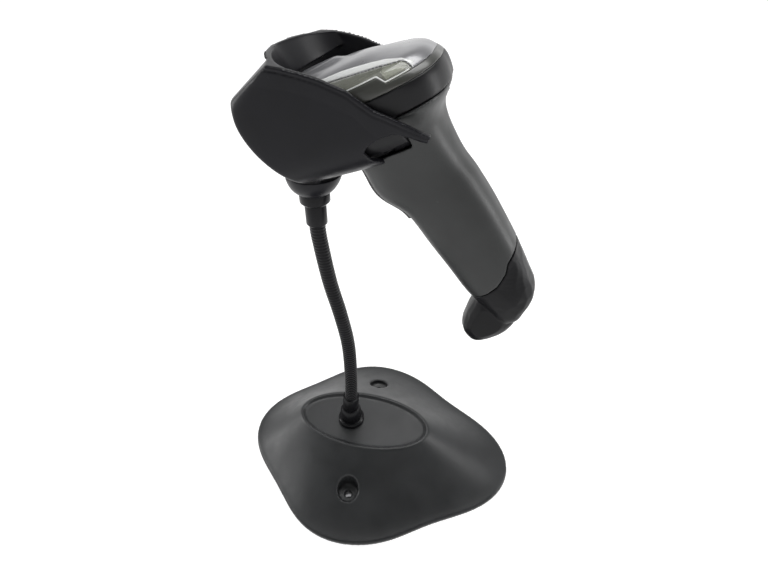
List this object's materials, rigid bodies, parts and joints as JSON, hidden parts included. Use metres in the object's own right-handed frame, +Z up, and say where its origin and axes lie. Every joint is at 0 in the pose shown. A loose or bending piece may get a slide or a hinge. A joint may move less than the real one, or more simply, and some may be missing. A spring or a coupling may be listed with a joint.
{
  "type": "handheld barcode scanner on flexible stand",
  "caption": "Cordless handheld barcode scanner nose-down in the cradle of a bendable neck stand with a weighted, rounded base.",
  "frame": {"origin": "on the floor under the centre of the base outline", "axes": "+Z up; +X to the right-hand side of the scanner as its user holds it; +Y from the scanner's nose back towards its grip"},
  "size_m": [0.1718, 0.2172, 0.3207],
  "materials": {
    "base_plastic": "satin",
    "ballast_steel": "satin",
    "pad_rubber": "matte",
    "screw_steel": "satin",
    "collar_black": "gloss",
    "ferrule_black": "satin",
    "neck_black": "satin",
    "cradle_plastic": "satin",
    "bumper_plastic": "satin",
    "band_plastic": "satin",
    "cover_silver": "satin",
    "window_smoke": "gloss",
    "indicator_white": "gloss",
    "scan_glass": "gloss",
    "engine_plastic": "matte",
    "lens_glass": "gloss",
    "led_resin": "gloss",
    "bracket_steel": "satin",
    "board_green": "satin",
    "chip_black": "matte",
    "shield_tin": "satin",
    "ribbon_film": "satin",
    "grip_plastic": "matte",
    "trigger_plastic": "satin",
    "spring_steel": "satin",
    "cell_wrap": "satin",
    "cap_plastic": "satin",
    "contact_gold": "polished"
  },
  "bodies": {
    "base": {"base_cover": "base_plastic", "ballast_plate": "ballast_steel", "non_slip_pad": "pad_rubber", "base_screws": "screw_steel", "neck_collar": "collar_black", "neck_nut": "screw_steel", "neck_gland": "ferrule_black", "lower_ferrule": "ferrule_black"},
    "neck_low": {"neck_lower": "neck_black"},
    "neck_mid": {"neck_middle": "neck_black"},
    "cradle": {"neck_upper": "neck_black", "upper_ferrule": "ferrule_black", "coupler_ring": "ferrule_black", "cup_bracket": "cradle_plastic", "cradle_cup": "cradle_plastic", "cup_screws": "screw_steel"},
    "trigger_lever": {"trigger": "trigger_plastic"},
    "plunger": {"switch_plunger": "led_resin"},
    "cap": {"battery_cap": "cap_plastic", "charge_contacts": "contact_gold"},
    "scanner": {"lower_shell": "bumper_plastic", "band_shell": "band_plastic", "top_cover": "cover_silver", "side_window_right": "window_smoke", "side_window_left": "window_smoke", "head_screws": "screw_steel", "indicator_block_right": "indicator_white", "indicator_block_left": "indicator_white", "nose_bezel": "bumper_plastic", "scan_window": "scan_glass", "engine_housing": "engine_plastic", "camera_lens": "lens_glass", "aimer_lens": "lens_glass", "illumination_leds": "led_resin", "engine_bracket": "bracket_steel", "main_board": "board_green", "processor": "chip_black", "radio_module": "shield_tin", "beeper": "chip_black", "engine_ribbon": "ribbon_film", "grip_shell": "grip_plastic", "trigger_pin": "screw_steel", "trigger_frame": "engine_plastic", "trigger_spring": "spring_steel", "switch_board": "board_green", "trigger_switch": "chip_black", "battery_cell": "cell_wrap", "battery_spring": "spring_steel", "contact_plate": "shield_tin"}
  },
  "joints": [
    {"name": "neck_base_bend", "type": "hinge", "parent": "base", "child": "neck_low", "pos_m": [0, -0.0168, 0.066], "axis": [-1, 0, 0], "range_deg": [-25, 25]},
    {"name": "neck_side_bend", "type": "hinge", "parent": "neck_low", "child": "neck_mid", "pos_m": [0, -0.0166, 0.124], "axis": [0, 1, 0], "range_deg": [-30, 30]},
    {"name": "neck_head_bend", "type": "hinge", "parent": "neck_mid", "child": "cradle", "pos_m": [0, -0.026, 0.178], "axis": [1, 0, 0], "range_deg": [-30, 30]},
    {"name": "scanner_lift_out", "type": "slide", "parent": "cradle", "child": "scanner", "axis": [0, 0.9063, 0.4226], "range_m": [0, 0.09]},
    {"name": "trigger_press", "type": "hinge", "parent": "scanner", "child": "trigger_lever", "pos_m": [0, 0.00633, 0.26654], "axis": [1, 0, 0], "range_deg": [0, 3.5], "stiffness_Nm_per_rad": 0.5, "springref_deg": -3.44},
    {"name": "plunger_press", "type": "slide", "parent": "scanner", "child": "plunger", "axis": [0, 0.9063, 0.4226], "range_m": [0, 0.0014]},
    {"name": "battery_cap_slide", "type": "slide", "parent": "scanner", "child": "cap", "axis": [0, 0.5806, -0.8142], "range_m": [0, 0.03]}
  ],
  "couplings": [
    {"joint": "plunger_press", "follows": "trigger_press", "m_per_rad": 0.0229}
  ]
}
